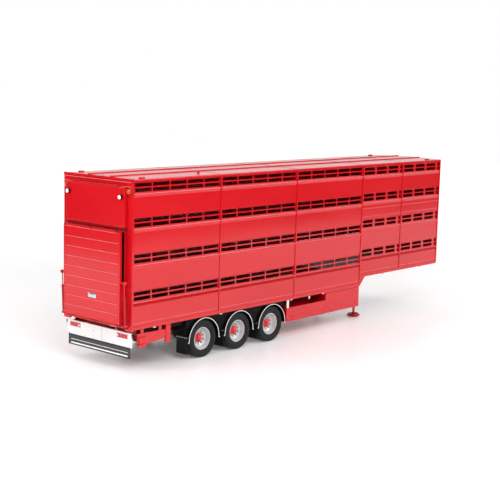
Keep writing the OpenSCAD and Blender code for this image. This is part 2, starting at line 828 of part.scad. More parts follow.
// Forged arm from the hanger bolt, over the axle beam, back to the air bellows
module trailing_arm(x) {
    seat = hub_h + 30;
    difference() {
        union() {
            plate_xz([[x + arm_pivot, arm_pivot_h - 40], [x + arm_pivot, arm_pivot_h + 40],
                      [x + 90, hub_h + axle_r + 42], [x - 90, hub_h + axle_r + 42],
                      [x - bellows_back + 100, seat], [x - bellows_back - 100, seat],
                      [x - bellows_back - 100, seat - 30], [x - bellows_back + 100, seat - 30],
                      [x - 90, hub_h + 5], [x + 90, hub_h + 5]],
                     [arm_y - arm_t / 2, arm_y + arm_t / 2]);
            bar_y(x + arm_pivot, arm_pivot_h, 40, [arm_y - arm_t / 2, arm_y + arm_t / 2]);
        }
        bar_y(x + arm_pivot, arm_pivot_h, 16 + running_clearance, [0, half_w]);
    }
}

module axle_rear() { axle(0); }
module axle_middle() { axle(1); }
module axle_front() { axle(2); }

module air_bellows() {
    base = hub_h + 30 + joint_gap;
    color(black) at_rear() both_sides()
        for (x = axle_stations)
            translate([x - bellows_back, arm_y, 0]) {
                translate([0, 0, base]) cylinder(r = 80, h = 60);
                translate([0, 0, base + 60]) rotate_extrude($fn = 64)
                    polygon([[0, 0], [bellows_r - 30, 0], [bellows_r - 8, 12], [bellows_r, 32],
                             [bellows_r, 70], [bellows_r - 8, 92],
                             [bellows_r - 24, rail_bottom - base - 60],
                             [0, rail_bottom - base - 60]]);
            }
}

// Half-round band about a wheel centre, with its lower ends turned outwards
module guard_band(r, t, y) {
    flare = 30;
    translate([0, y[1], hub_h]) rotate([90, 0, 0]) linear_extrude(y[1] - y[0]) {
        difference() {
            circle(r = r + t, $fn = 128);
            circle(r = r, $fn = 128);
            translate([-2 * r, -2 * r]) square([4 * r, 2 * r]);
        }
        for (side = [0, 1]) mirror([side, 0])
            polygon([[r, nudge], [r + t, nudge], [r + t, 0], [r + t + flare, -flare],
                     [r + flare, -flare - t], [r, -t]]);
    }
}

module mudguards() {
    stay_r = 18;
    color(black) at_rear() both_sides() for (x = axle_stations) {
        translate([x, 0, 0]) guard_band(guard_r, guard_t, [guard_in, guard_out]);
        for (a = [50, 130])
            bar_y(x + (guard_r + stay_r) * cos(a), hub_h + (guard_r + stay_r) * sin(a),
                  stay_r, [web_out, guard_out - 60]);
    }
}

module mudguard_trims() {
    color(white) at_rear() both_sides() for (x = axle_stations)
        translate([x, 0, 0]) guard_band(guard_r - 6, 16, [guard_out, half_w - 2]);
}

module wheel_flaps() {
    flap_t = 8;
    clamp_r = 16;
    color(black) at_rear() both_sides() for (x = axle_stations) {
        back = x - guard_r - guard_t - 46;
        block([back - flap_t, back], [half_w - 420, half_w - 20], [165, 620]);
        bar_y(back - flap_t / 2, 620 + clamp_r - 2, clamp_r, [rail_y, half_w - 20]);
        block([back - 24, back + 16], [rail_y, rail_y + 50], [620 + clamp_r, rail_bottom]);
    }
}

module air_tanks() {
    color(black) at_rear() both_sides() {
        bar_y(6300, 560, 130, [60, 560]);
        for (y = [150, 440]) block([6270, 6330], [y, y + 30], [680, rail_top]);
        for (y = [150, 440]) block([6270, 6330], [y, rail_y - rail_web / 2], [rail_top - 60, rail_top - 20]);
    }
}

// ---- lockers ----

module equipment_lockers() {
    y0 = half_w - locker_depth;
    y1 = half_w - 14;
    color(red) at_rear() both_sides() {
        difference() {
            block([locker_rear, locker_front], [y0, y1], [locker_bottom, locker_top]);
            block([locker_rear + locker_wall, locker_front - locker_wall],
                  [y0 + locker_wall, y1 + nudge],
                  [locker_bottom + locker_wall, locker_top - locker_wall]);
        }
        for (x = [locker_rear + 230, locker_front - 230])
            block([x - 30, x + 30], [web_out, y0 + nudge], [900, 960]);
        block([locker_rear, locker_front], [y1 - locker_wall, y1],
              [door_hinge_z + 2, locker_top]);
        for (x = [locker_rear + 60, locker_front - 160]) {
            bar_x(door_hinge_y, door_hinge_z, hinge_r, [x, x + 100]);
            block([x, x + 100], [y1 - nudge, door_hinge_y], [door_hinge_z, door_hinge_z + hinge_r]);
        }
        bar_x(door_hinge_y, door_hinge_z, 3, [locker_rear + 60, locker_front - 60]);
    }
}

module locker_door() {
    y1 = half_w - 14 + joint_gap;
    top = door_hinge_z - 8;
    at_rear() difference() {
        union() {
            block([locker_rear + 6, locker_front - 6], [y1, y1 + door_skin], [locker_bottom, top]);
            for (x = [locker_rear + 170, locker_front - 320]) {
                bar_x(door_hinge_y, door_hinge_z, hinge_r, [x, x + 150]);
                block([x, x + 150], [y1, door_hinge_y], [top - nudge, door_hinge_z - 2]);
            }
            for (x = [locker_rear + 300, locker_front - 420])
                block([x, x + 120], [y1 + door_skin - nudge, y1 + 12],
                      [locker_bottom + 60, locker_bottom + 90]);
        }
        bar_x(door_hinge_y, door_hinge_z, 3 + running_clearance, [locker_rear, locker_front]);
    }
}

module locker_door_left() { color(red) locker_door(); }
module locker_door_right() { color(red) mirror([0, 1, 0]) locker_door(); }

module pallet_boxes() {
    y0 = half_w - locker_depth;
    y1 = half_w - 10;
    crease = box_bottom + 160;
    color(red) at_rear() both_sides() {
        plate_yz([[y1, box_bottom], [y1, crease - 20], [y1 - 8, crease], [y1, crease + 20],
                  [y1, box_top], [y1 - locker_wall, box_top], [y1 - locker_wall, crease + 22],
                  [y1 - 8 - locker_wall, crease], [y1 - locker_wall, crease - 22],
                  [y1 - locker_wall, box_bottom + locker_wall],
                  [y0 + locker_wall, box_bottom + locker_wall], [y0 + locker_wall, box_top],
                  [y0, box_top], [y0, box_bottom]], [box_rear + locker_wall, locker_rear]);
        block([box_rear, box_rear + locker_wall], [y0, y1], [box_bottom, box_top]);
        for (x = [box_rear + 300, locker_rear - 300])
            block([x - 30, x + 30], [web_out, y0 + nudge], [760, 820]);
    }
}

module box_hangers() {
    color(white) at_rear() both_sides() {
        block([box_rear + 20, box_rear + 100], [half_w - 40, half_w - 10],
              [box_top, rear_sill_h]);
        block([box_rear + 1010, box_rear + 1060], [half_w - 42, half_w - 20],
              [rear_sill_h - 90, rear_sill_h]);
    }
}

module marker_lamps() {
    color(white) at_rear() {
        both_sides() for (x = [793, 3213, 6123, 7590, 10600, 12700]) {
            z = x < step_station ? rear_sill_h : neck_sill_h;
            block([x - 45, x + 45], [half_w - 40, half_w - 10], [z - 32, z]);
        }
        both_sides() {
            block([64, 88], [1205, 1216], [930, 950]);
            block([54, 98], [1214, 1250], [900, 990]);
        }
    }
}

// ---- landing legs ----

module leg_housings() {
    h = leg_tube / 2;
    wall = 8;
    color(red) at_rear() both_sides() {
        translate([leg_station, leg_y, 0]) difference() {
            block([-h, h], [-h, h], [leg_tube_bottom, coupler_h + 130]);
            block([-h + wall, h - wall], [-h + wall, h - wall],
                  [leg_tube_bottom + 30, coupler_h + 100]);
            translate([0, 0, leg_tube_bottom - nudge])
                cylinder(r = leg_r + running_clearance, h = 33);
        }
        block([leg_station - h, leg_station + h], [rail_y + neck_rail_w / 2, leg_y - h],
              [coupler_h + 10, coupler_h + 130]);
    }
}

module landing_leg(side) {
    color(red) at_rear() translate([leg_station, side * leg_y, 0]) {
        translate([0, 0, pad_pivot_h + 45]) cylinder(r = leg_r, h = leg_top - pad_pivot_h - 45);
        translate([0, 0, leg_top - 30]) cylinder(r = leg_tube / 2 - 8 - joint_gap, h = 30);
        difference() {
            block([-30, 30], [-14, 14], [pad_pivot_h - 24, pad_pivot_h + 46]);
            bar_y(0, pad_pivot_h, 12 + running_clearance, [-20, 20]);
        }
    }
}

module foot_pad(side) {
    ear = 12;
    color(dark_red) at_rear() translate([leg_station, side * leg_y, 0]) {
        rotate_extrude($fn = 96) polygon([[0, 0], [pad_r - 55, 0], [pad_r, 45],
            [pad_r, 62], [pad_r - 40, pad_h - 12], [pad_r - 60, pad_h - 10], [pad_r - 90, 60],
            [0, 60]]);
        for (s = [-1, 1])
            block([-28, 28], [s * (15 + ear / 2) - ear / 2, s * (15 + ear / 2) + ear / 2],
                  [59, pad_pivot_h + 26]);
        bar_y(0, pad_pivot_h, 12, [-15 - ear, 15 + ear]);
    }
}

module landing_leg_right() { landing_leg(-1); }
module landing_leg_left() { landing_leg(1); }
module foot_pad_right() { foot_pad(-1); }
module foot_pad_left() { foot_pad(1); }

// ---- ramp rams ----

// Children are drawn along +Z from the ram's foot pivot
module at_ram(side) {
    at_rear() translate([ram_foot_x, side * ram_y, ram_foot_h]) rotate([0, ram_tilt, 0])
        children();
}

module ram_barrel(side) {
    eye_r = 27;
    bore = ram_rod_r + running_clearance;
    color(dark_red) at_ram(side) {
        difference() {
            union() {
                bar_y(0, 0, eye_r, [-22, 22]);
                translate([0, 0, 20]) cylinder(r = 22, h = 40);
                translate([0, 0, 55]) cylinder(r = ram_barrel_r, h = ram_barrel_l - 55);
                translate([0, 0, ram_barrel_l - 60]) cylinder(r = ram_barrel_r + 5, h = 60);
            }
            bar_y(0, 0, ram_pin_r + running_clearance, [-40, 40]);
            translate([0, 0, 80]) cylinder(r = ram_barrel_r - 6, h = ram_barrel_l - 140);
            translate([0, 0, ram_barrel_l - 70]) cylinder(r = bore, h = 80);
        }
    }
}

module ram_rod(side) {
    eye_in = ram_pin_r + ram_eye_clear;
    color(silver) at_ram(side) {
        translate([0, 0, 470]) cylinder(r = ram_barrel_r - 6.5, h = 30);
        translate([0, 0, 499]) cylinder(r = ram_rod_r, h = ram_len - eye_in - 8 - 499);
        difference() {
            bar_y(0, ram_len, eye_in + 14, [-14, 14]);
            bar_y(0, ram_len, eye_in, [-20, 20]);
        }
    }
}

module ram_barrel_right() { ram_barrel(-1); }
module ram_barrel_left() { ram_barrel(1); }
module ram_rod_right() { ram_rod(-1); }
module ram_rod_left() { ram_rod(1); }

// ---- decks ----

// A deck plate on a frame, with shoes that slide on the pillars it passes
module deck(height, x, shoes) {
    bearer_pitch = 1100;
    color(silver) at_rear() {
        block(x, [-deck_half_w, deck_half_w], [height - sheet_t, height]);
        both_sides() {
            block(x, [deck_half_w - 40, deck_half_w], [height - deck_frame_h, height - sheet_t]);
            for (i = shoes)
                block([seams[i] - shoe_w / 2, seams[i] + shoe_w / 2],
                      [deck_half_w, half_w - pillar_depth - joint_gap], [height - deck_frame_h, height]);
        }
        for (px = [x[0]:bearer_pitch:x[1] - 60])
            block([px, px + 40], [-deck_half_w + 40, deck_half_w - 40],
                  [height - deck_frame_h, height - sheet_t]);
    }
}

module deck_lower() { deck(deck_heights[0], [deck_rear, step_station - 60], [1, 2]); }
module deck_middle() { deck(deck_heights[1], [deck_rear, body_l - 90], [1, 2, 3, 4]); }
module deck_upper() { deck(deck_heights[2], [deck_rear, body_l - 90], [1, 2, 3, 4]); }

chassis_rails();
cross_members();
floors();
coupler_plate();
kingpin();
side_panels_right();
side_panels_left();
side_pillars();
end_walls();
rear_frame();
roof();
cant_rails();
side_sills();
rear_bumper();
tail_lamps();
spray_flap();
mudguards();
mudguard_trims();
wheel_flaps();
corner_lamps();
marker_lamps();
equipment_lockers();
pallet_boxes();
box_hangers();
tail_skirts();
leg_housings();
air_tanks();
air_bellows();
tail_ramp();
ramp_floor();
upper_door();
work_lamps();
ram_barrel_right();
ram_barrel_left();
ram_rod_right();
ram_rod_left();
landing_leg_right();
landing_leg_left();
foot_pad_right();
foot_pad_left();
axle_rear();
axle_middle();
axle_front();
tyre_rear_right();
tyre_rear_left();
tyre_middle_right();
tyre_middle_left();
tyre_front_right();
tyre_front_left();
wheel_rear_right();
wheel_rear_left();
wheel_middle_right();
wheel_middle_left();
wheel_front_right();
wheel_front_left();
deck_lower();
deck_middle();
deck_upper();
locker_door_right();
locker_door_left();
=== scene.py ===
"""Looks of the livestock semi-trailer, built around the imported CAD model."""

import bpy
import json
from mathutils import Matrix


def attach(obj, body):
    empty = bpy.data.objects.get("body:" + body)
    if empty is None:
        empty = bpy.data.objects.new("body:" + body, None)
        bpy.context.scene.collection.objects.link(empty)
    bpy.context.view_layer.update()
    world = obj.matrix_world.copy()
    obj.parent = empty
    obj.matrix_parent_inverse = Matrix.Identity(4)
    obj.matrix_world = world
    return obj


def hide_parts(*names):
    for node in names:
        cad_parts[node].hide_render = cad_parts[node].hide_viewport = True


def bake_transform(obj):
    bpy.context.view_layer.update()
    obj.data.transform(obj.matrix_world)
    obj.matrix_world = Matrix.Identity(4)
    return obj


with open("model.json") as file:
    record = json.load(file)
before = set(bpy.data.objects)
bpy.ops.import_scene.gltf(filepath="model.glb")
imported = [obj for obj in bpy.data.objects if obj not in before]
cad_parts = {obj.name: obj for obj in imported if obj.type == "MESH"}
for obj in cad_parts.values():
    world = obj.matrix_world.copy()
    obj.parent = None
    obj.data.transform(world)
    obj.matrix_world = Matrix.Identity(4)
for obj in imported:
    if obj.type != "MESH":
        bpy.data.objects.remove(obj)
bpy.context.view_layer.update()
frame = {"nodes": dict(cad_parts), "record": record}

import json
import math

import bmesh
import bpy
from mathutils import Matrix, Vector

SIDES = {"right": -1, "left": 1}

# Metres. A station is a distance ahead of the body's rear face.
REAR_X = -6.7                         # frame X of the body's rear face
HALF_W = 1.275                        # half the body's width
AXLES = {"rear": 2.573, "middle": 3.928, "front": 5.283}   # stations
PANEL_SEAMS = (3.117, 6.234, 9.35, 11.445)                 # stations between wall panels
STEP = 9.35                           # station where the low floor meets the gooseneck
HUB_H = 0.498                         # axle height, and the tyre's radius
TYRE_Y = 1.045                        # middle of the tread
ARM_Y = 0.56                          # trailing arms and air bellows
BELLOWS_BACK = 0.34                   # bellows behind their axle
BELLOWS_SEAT_H = 0.5283
FLAP_BACK = 0.606                     # wheel flaps behind their axle
GUARD_LIP_H = 0.62                    # lower edge of the guards
RAMP_FACE = -0.2                      # station of the closed ramp's outer face
FLAP_X = 0.066                        # station of the spray flap's rear face
CORNER_LAMP_Y, CORNER_LAMP_H = 1.155, 4.48
WORK_LAMP_Y, WORK_LAMP_H = 0.97, 4.34

WHEEL_BOLTS = 10
TREAD_STEPS = 160
SMOOTH_ANGLE = math.radians(35)
ROD_EDGE = 0.15                       # broken edge of a rod, as a share of its radius
RED = (0.63, 0.003, 0.009)


def at(station):
    """Frame X of a distance ahead of the rear face."""
    return REAR_X + station


# ---------------------------------------------------------------- materials

COAT_ROUGH = 0.06
BUMP_DEPTH = 0.002                    # metres
PATCH_LOW, PATCH_HIGH = 0.3, 0.7      # part of the noise that the patches use


def _link(tree, a, out, b, into):
    """Joins output out of node a to input into of node b."""
    tree.links.new(a.outputs[out], b.inputs[into])


def material(name, colour, rough=0.4, metal=0.0, coat=0.0, vary=0.06, patch=1.5,
             rough_vary=0.06, bump=0.0, grain=60.0, stretch=(1, 1, 1), gloss=0.5):
    """A procedural finish: patchy colour and roughness, and a fine grain in the bump."""
    m = bpy.data.materials.new(name)
    m.use_nodes = True
    t = m.node_tree
    shader = t.nodes["Principled BSDF"]
    shader.inputs["Metallic"].default_value = metal
    shader.inputs["Coat Weight"].default_value = coat
    shader.inputs["Coat Roughness"].default_value = COAT_ROUGH
    shader.inputs["Specular IOR Level"].default_value = gloss
    where = t.nodes.new("ShaderNodeTexCoord")
    place = t.nodes.new("ShaderNodeMapping")
    place.inputs["Scale"].default_value = stretch
    _link(t, where, "Object", place, "Vector")
    wide = t.nodes.new("ShaderNodeTexNoise")
    wide.inputs["Scale"].default_value = patch
    wide.inputs["Detail"].default_value = 4.0
    _link(t, place, "Vector", wide, "Vector")
    ramp = t.nodes.new("ShaderNodeValToRGB")
    low = [c * (1 - vary) for c in colour]
    high = [min(1.0, c * (1 + vary) + 0.002) for c in colour]
    ramp.color_ramp.elements[0].position = PATCH_LOW
    ramp.color_ramp.elements[0].color = (*low, 1)
    ramp.color_ramp.elements[1].position = PATCH_HIGH
    ramp.color_ramp.elements[1].color = (*high, 1)
    _link(t, wide, "Fac", ramp, "Fac")
    _link(t, ramp, "Color", shader, "Base Color")
    spread = t.nodes.new("ShaderNodeMapRange")
    spread.inputs["From Min"].default_value = PATCH_LOW
    spread.inputs["From Max"].default_value = PATCH_HIGH
    spread.inputs["To Min"].default_value = max(0.02, rough - rough_vary)
    spread.inputs["To Max"].default_value = min(1.0, rough + rough_vary)
    _link(t, wide, "Fac", spread, "Value")
    _link(t, spread, "Result", shader, "Roughness")
    if bump > 0:
        fine = t.nodes.new("ShaderNodeTexNoise")
        fine.inputs["Scale"].default_value = grain
        fine.inputs["Detail"].default_value = 3.0
        _link(t, place, "Vector", fine, "Vector")
        lift = t.nodes.new("ShaderNodeBump")
        lift.inputs["Strength"].default_value = bump
        lift.inputs["Distance"].default_value = BUMP_DEPTH
        _link(t, fine, "Fac", lift, "Height")
        _link(t, lift, "Normal", shader, "Normal")
    return m


MATS = {
    "red": material("paint_red", RED, 0.16, coat=0.1, vary=0.05, patch=0.7,
                    rough_vary=0.03, bump=0.06, grain=45),
    "red_alloy": material("paint_red_panel", RED, 0.16, coat=0.1, vary=0.05, patch=0.5,
                          rough_vary=0.03, bump=0.06, grain=35, stretch=(0.5, 1, 1.6)),
    "dark_red": material("paint_chassis", (0.42, 0.004, 0.01), 0.34, vary=0.12, patch=3,
                         bump=0.1, grain=70),
    "white": material("paint_white", (0.84, 0.84, 0.83), 0.22, coat=0.3, vary=0.03, patch=2,
                      bump=0.04, grain=50),
    "black_metal": material("paint_black", (0.004, 0.004, 0.004), 0.3, vary=0.3, patch=2,
                            bump=0.05, grain=50, gloss=0.2),
    "silver": material("floor_plate", (0.5, 0.5, 0.51), 0.5, metal=0.7, vary=0.14, patch=3,
                       rough_vary=0.14, bump=0.25, grain=90, stretch=(0.3, 2, 1)),
    "alloy": material("rim_silver", (0.6, 0.61, 0.62), 0.38, metal=0.35, vary=0.05, patch=8,
                      rough_vary=0.07, bump=0.05, grain=120),
    "steel": material("bare_steel", (0.3, 0.3, 0.31), 0.42, metal=0.8, vary=0.18, patch=9,
                      rough_vary=0.12, bump=0.2, grain=110),
    "tyre": material("tyre_rubber", (0.009, 0.009, 0.009), 0.62, vary=0.25, patch=14,
                     rough_vary=0.12, bump=0.35, grain=160, gloss=0.3),
    "rubber": material("flap_rubber", (0.006, 0.006, 0.0065), 0.5, vary=0.18, patch=6,
                       rough_vary=0.1, bump=0.25, grain=120, gloss=0.2),
    "black_plastic": material("guard_plastic", (0.0015, 0.0015, 0.0015), 0.35, vary=0.3, patch=4,
                              rough_vary=0.08, bump=0.06, grain=60, gloss=0.08),
    "white_plastic": material("trim_white", (0.86, 0.86, 0.84), 0.28, vary=0.04, patch=6,
                              bump=0.05, grain=80),
    "red_lens": material("lens_red", (0.62, 0.012, 0.03), 0.12, coat=0.8, vary=0.15, patch=20,
                         bump=0.2, grain=90),
    "amber_lens": material("lens_amber", (0.7, 0.13, 0.008), 0.12, coat=0.8, vary=0.15,
                           patch=20, bump=0.2, grain=90),
}
CLEAR = material("lens_clear", (0.88, 0.89, 0.9), 0.08, coat=0.9, vary=0.05, patch=25,
                 bump=0.1, grain=90)
BADGE = material("badge_silver", (0.62, 0.63, 0.66), 0.2, metal=0.9, vary=0.05, patch=20,
                 bump=0.04, grain=150)
HUB_RED = material("hub_red", (0.78, 0.012, 0.022), 0.22, coat=0.4, vary=0.08, patch=15,
                   bump=0.05, grain=90)
FLAP_GREY = material("flap_grey", (0.034, 0.037, 0.038), 0.5, vary=0.15, patch=4, bump=0.2,
                     grain=120)
PRINT = material("print_white", (0.95, 0.95, 0.95), 0.5, vary=0.08, patch=9, bump=0.15, grain=90)
# A lighter red for beads along edges, lips and sills: painted highlight.
PAINTED_HIGHLIGHT = material("painted_highlight_red", (0.85, 0.14, 0.16), 0.25, coat=0.3, vary=0.08, patch=3,
               bump=0.05, grain=60)
# A deep red for the slope under the lowest slot row: painted shade.
SHADE = material("painted_shade_red", (0.46, 0.001, 0.003), 0.4, vary=0.08, patch=2, bump=0.05,
                 grain=60, gloss=0.1)
DARK_METAL = material("latch_dark", (0.05, 0.02, 0.02), 0.4, metal=0.5, vary=0.2, patch=12,
                      bump=0.1, grain=90)
# Near black for gaps, holes and the disc behind the rim's holes: painted shade.
GAP_SHADE = material("painted_shade_gap", (0.01, 0.008, 0.008), 0.8, vary=0.3, patch=10, bump=0.1, grain=40)

SLOT_OF = {s["node"]: s["material_slot"] for s in frame["record"]["subparts"]}
for node_name, node_obj in frame["nodes"].items():
    node_obj.data.materials.clear()
    node_obj.data.materials.append(MATS[SLOT_OF[node_name]])
frame["nodes"]["spray_flap"].data.materials[0] = FLAP_GREY


# ---------------------------------------------------------------- mesh code

class Shape:
    """Collects solids in one bmesh, then makes a piece of it."""

    def __init__(self):
        self.bm = bmesh.new()

    def _add(self, points, faces):
        verts = [self.bm.verts.new(p) for p in points]
        for f in faces:
            self.bm.faces.new([verts[i] for i in f])

    def box(self, x, y, z):
        """A box between the two values given on each axis."""
        pts = [(a, b, c) for a in sorted(x) for b in sorted(y) for c in sorted(z)]
        self._add(pts, [(0, 1, 3, 2), (4, 6, 7, 5), (0, 4, 5, 1),
                        (2, 3, 7, 6), (0, 2, 6, 4), (1, 5, 7, 3)])
        return self

    def prism(self, outline, axis, span):
        """outline holds points in the other two axes, in order; span runs along axis."""
        n = len(outline)
        area = sum(outline[i][0] * outline[(i + 1) % n][1]
                   - outline[(i + 1) % n][0] * outline[i][1] for i in range(n))
        if (area < 0) != (axis == 1):
            outline = outline[::-1]

        def put(p, s):
            return {0: (s, p[0], p[1]), 1: (p[0], s, p[1]), 2: (p[0], p[1], s)}[axis]
        pts = [put(p, min(span)) for p in outline] + [put(p, max(span)) for p in outline]
        faces = [tuple(range(n))[::-1], tuple(range(n, 2 * n))]
        faces += [(i, (i + 1) % n, n + (i + 1) % n, n + i) for i in range(n)]
        self._add(pts, faces)
        return self

    def lathe(self, profile, centre, axis, steps=48, closed=False, wobble=None):
        """profile holds (radius, height) along axis; wobble(i, a) scales a radius."""
        pts = []
        for k in range(steps):
            a = 2 * math.pi * k / steps
            for i, (r, h) in enumerate(profile):
                r = r * (wobble(i, a) if wobble else 1)
                u, v = r * math.cos(a), r * math.sin(a)
                local = {0: (h, u, v), 1: (v, h, u), 2: (u, v, h)}[axis]
                pts.append([c + d for c, d in zip(centre, local)])
        n = len(profile)
        faces = []
        for k in range(steps):
            j = (k + 1) % steps
            for i in range(n if closed else n - 1):
                q = (i + 1) % n
                faces.append((k * n + i, j * n + i, j * n + q, k * n + q))
        if not closed:
            faces.append(tuple(k * n for k in range(steps))[::-1])
            faces.append(tuple(k * n + n - 1 for k in range(steps)))
        self._add(pts, faces)
        return self

    def rod(self, centre, axis, r, length, steps=24):
        """A round bar about a point, with broken edges. Six steps make a hexagon."""
        c = r * ROD_EDGE
        h = length / 2
        return self.lathe([(r - c, -h), (r, -h + c), (r, h - c), (r - c, h)],
                          centre, axis, steps)

    def mesh(self, name):
        """The solids as one mesh. The shape is used up."""
        bmesh.ops.recalc_face_normals(self.bm, faces=self.bm.faces)
        mesh = bpy.data.meshes.new(name)
        self.bm.to_mesh(mesh)
        self.bm.free()
        return mesh

    def make(self, name, mat, body, slot, bevel=0.0, smooth=True, stand_for=()):
        """The solids as one piece of the trailer."""
        return place(name, self.mesh(name), mat, body, slot, bevel, smooth,
                     stand_for=stand_for)


def place(name, mesh, mat, body, slot, bevel=0.0, smooth=True, at_point=None, stand_for=()):
    """A piece on a body. With body None the caller says how the piece moves."""
    obj = bpy.data.objects.new(name, mesh)
    bpy.context.scene.collection.objects.link(obj)
    if not mesh.materials:
        mesh.materials.append(mat)
    if bevel > 0:
        mod = obj.modifiers.new("edge", "BEVEL")
        mod.width, mod.segments, mod.limit_method = bevel, 2, "ANGLE"
    if at_point:
        obj.location = at_point
    for mod in list(obj.modifiers):
        with bpy.context.temp_override(object=obj, active_object=obj,
                                       selected_objects=[obj]):
            bpy.ops.object.modifier_apply(modifier=mod.name)
    if smooth:
        with bpy.context.temp_override(object=obj, active_object=obj,
                                       selected_objects=[obj],
                                       selected_editable_objects=[obj]):
            bpy.ops.object.shade_smooth_by_angle(angle=SMOOTH_ANGLE)
    if body:
        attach(obj, body)
    if stand_for:
        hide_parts(*stand_for)
    return obj


# ---------------------------------------------------------------- wheels

def tyre_mesh(side):
    """Tread with four grooves, shoulders cut into lugs, and moulded side walls."""
    bead, r, half = 0.2875, HUB_H, 0.1925
    groove_w, groove_d = 0.006, 0.011
    tread = []
    for y in (-0.093, -0.031, 0.031, 0.093):
        tread += [(r, y - groove_w), (r - groove_d, y - groove_w * 0.6),
                  (r - groove_d, y + groove_w * 0.6), (r, y + groove_w)]
    half_side = [(bead, 0.118), (bead, 0.1375), (bead + 0.010, 0.1385), (bead + 0.022, 0.150),
                 (bead + 0.045, 0.1805), (bead + 0.062, 0.1885), (bead + 0.066, 0.1865),
                 (bead + 0.07, 0.1890), (r - 0.11, half), (r - 0.075, half - 0.0015),
                 (r - 0.072, half - 0.004), (r - 0.068, half - 0.0035), (r - 0.036, half - 0.010),
                 (r - 0.016, half - 0.020), (r - 0.005, half - 0.034), (r - 0.001, half - 0.05)]
    back = [(q, -y) for q, y in half_side]
    inner = [(bead + 0.04, 0.13), (r - 0.05, 0.14), (r - 0.05, -0.14), (bead + 0.04, -0.13)]
    profile = back + tread + half_side[::-1] + inner
    shoulder = {len(back) - 3, len(back) - 2, len(back) + len(tread) + 1,
                len(back) + len(tread) + 2}

    def lugs(i, a):
        odd = int(a / (2 * math.pi) * TREAD_STEPS) % 2
        return 0.986 if i in shoulder and odd else 1.0
    s = Shape()
    s.lathe(profile, (0, 0, 0), 1, steps=TREAD_STEPS, closed=True, wobble=lugs)
    return s.mesh("tyre_" + side)


def wheel_meshes(side, sign):
    """The rim with its drilled disc, and the red hub with its nuts. Outboard is sign * Y."""
    r, half = 0.2865, 0.149           # bead radius and half the rim's width
    disc = -0.026                     # inner face of the disc at the hub
    hole_ring, hole_r, nut_ring = 0.17, 0.0235, 0.108
    rim = Shape()
    outer = [(r - 0.006, -half), (r + 0.014, -half), (r + 0.0135, -half + 0.009),
             (r, -half + 0.011), (r - 0.001, -0.09), (r - 0.03, -0.06), (r - 0.04, 0.0),
             (r - 0.03, 0.06), (r - 0.001, 0.09), (r, half - 0.011),
             (r + 0.0135, half - 0.009), (r + 0.014, half - 0.002), (r + 0.011, half),
             (r - 0.006, half - 0.001), (r - 0.012, half - 0.012), (r - 0.016, half - 0.04),
             (r - 0.03, half - 0.062), (r - 0.036, half - 0.075), (r - 0.046, half - 0.11),
             (r - 0.048, disc + 0.086), (r - 0.05, disc + 0.074), (r - 0.05, disc + 0.06),
             (r - 0.05, -half + 0.06), (r - 0.02, -half + 0.02)]
    rim.lathe([(q, sign * h) for q, h in outer], (0, 0, 0), 1, 96, closed=True)
    plate = [(0.041, disc), (0.15, disc), (0.195, disc + 0.022), (r - 0.049, disc + 0.062),
             (r - 0.049, disc + 0.082), (0.19, disc + 0.046), (0.142, disc + 0.02),
             (0.041, disc + 0.02)]
    rim.lathe([(q, sign * h) for q, h in plate], (0, 0, 0), 1, 96, closed=True)
    body = bpy.data.objects.new("cut_body", rim.mesh("rim_" + side))
    bolt_angles = [2 * math.pi * (k + 0.5) / WHEEL_BOLTS for k in range(WHEEL_BOLTS)]
    drill = Shape()
    for a in bolt_angles:
        drill.rod((hole_ring * math.cos(a), sign * (disc + 0.02), hole_ring * math.sin(a)), 1,
                  hole_r, 0.14, 20)
    tool_mesh = drill.mesh("drill")
    tool = bpy.data.objects.new("drill", tool_mesh)
    for o in (body, tool):
        bpy.context.scene.collection.objects.link(o)
    cut = body.modifiers.new("cut", "BOOLEAN")
    cut.object, cut.operation, cut.solver = tool, "DIFFERENCE", "EXACT"
    with bpy.context.temp_override(object=body, active_object=body, selected_objects=[body]):
        bpy.ops.object.modifier_apply(modifier="cut")
    mesh = body.data
    bpy.data.objects.remove(body)
    bpy.data.objects.remove(tool)
    bpy.data.meshes.remove(tool_mesh)

    hub = Shape()

    def lobes(i, a):
        return 1 + (0.075 * math.cos(WHEEL_BOLTS * a) if i in (0, 1, 2, 3) else 0)
    hub.lathe([(0.1, sign * (disc + 0.019)), (0.114, sign * (disc + 0.024)),
               (0.114, sign * (disc + 0.036)), (0.104, sign * (disc + 0.042)),
               (0.078, sign * (disc + 0.05)), (0.075, sign * (disc + 0.07)),
               (0.068, sign * (disc + 0.075)), (0.066, sign * (disc + 0.094)),
               (0.057, sign * (disc + 0.103)), (0.036, sign * (disc + 0.108)),
               (0.014, sign * (disc + 0.109))], (0, 0, 0), 1, 80, wobble=lobes)
    for a in bolt_angles:
        centre = (nut_ring * math.cos(a), sign * (disc + 0.045), nut_ring * math.sin(a))
        hub.lathe([(0.019, sign * -0.022), (0.019, sign * 0.006), (0.0155, sign * 0.01),
                   (0.009, sign * 0.011), (0.008, sign * 0.022), (0.005, sign * 0.023)],
                  centre, 1, 6)
    return mesh, hub.mesh("hub_" + side)


for side, sign in SIDES.items():
    tyre_data = tyre_mesh(side)
    rim_data, hub_data = wheel_meshes(side, sign)
    for axle, station in AXLES.items():
        spot = (at(station), sign * TYRE_Y, HUB_H)
        body = f"wheel_{axle}_{side}"
        place(f"tyre_tread_{axle}_{side}", tyre_data, MATS["tyre"], body, "tyre",
              at_point=spot, stand_for=[f"tyre_{axle}_{side}"])
        place(f"rim_{axle}_{side}", rim_data, MATS["alloy"], body, "alloy",
              at_point=spot, stand_for=[f"wheel_{axle}_{side}"])
        place(f"hub_{axle}_{side}", hub_data, HUB_RED, body, "red", at_point=spot)
        # A dark disc inside each rim, behind the holes in its disc: painted shade.
        back = Shape()
        back.lathe([(0.12, 0.0), (0.2, 0.0), (0.2, sign * 0.004), (0.12, sign * 0.004)],
                   (spot[0], spot[1] - sign * 0.046, spot[2]), 1, 48, closed=True)
        back.make(f"rim_shade_disc_{axle}_{side}", GAP_SHADE, body, "steel")


# ---------------------------------------------------------------- mudguards and flaps

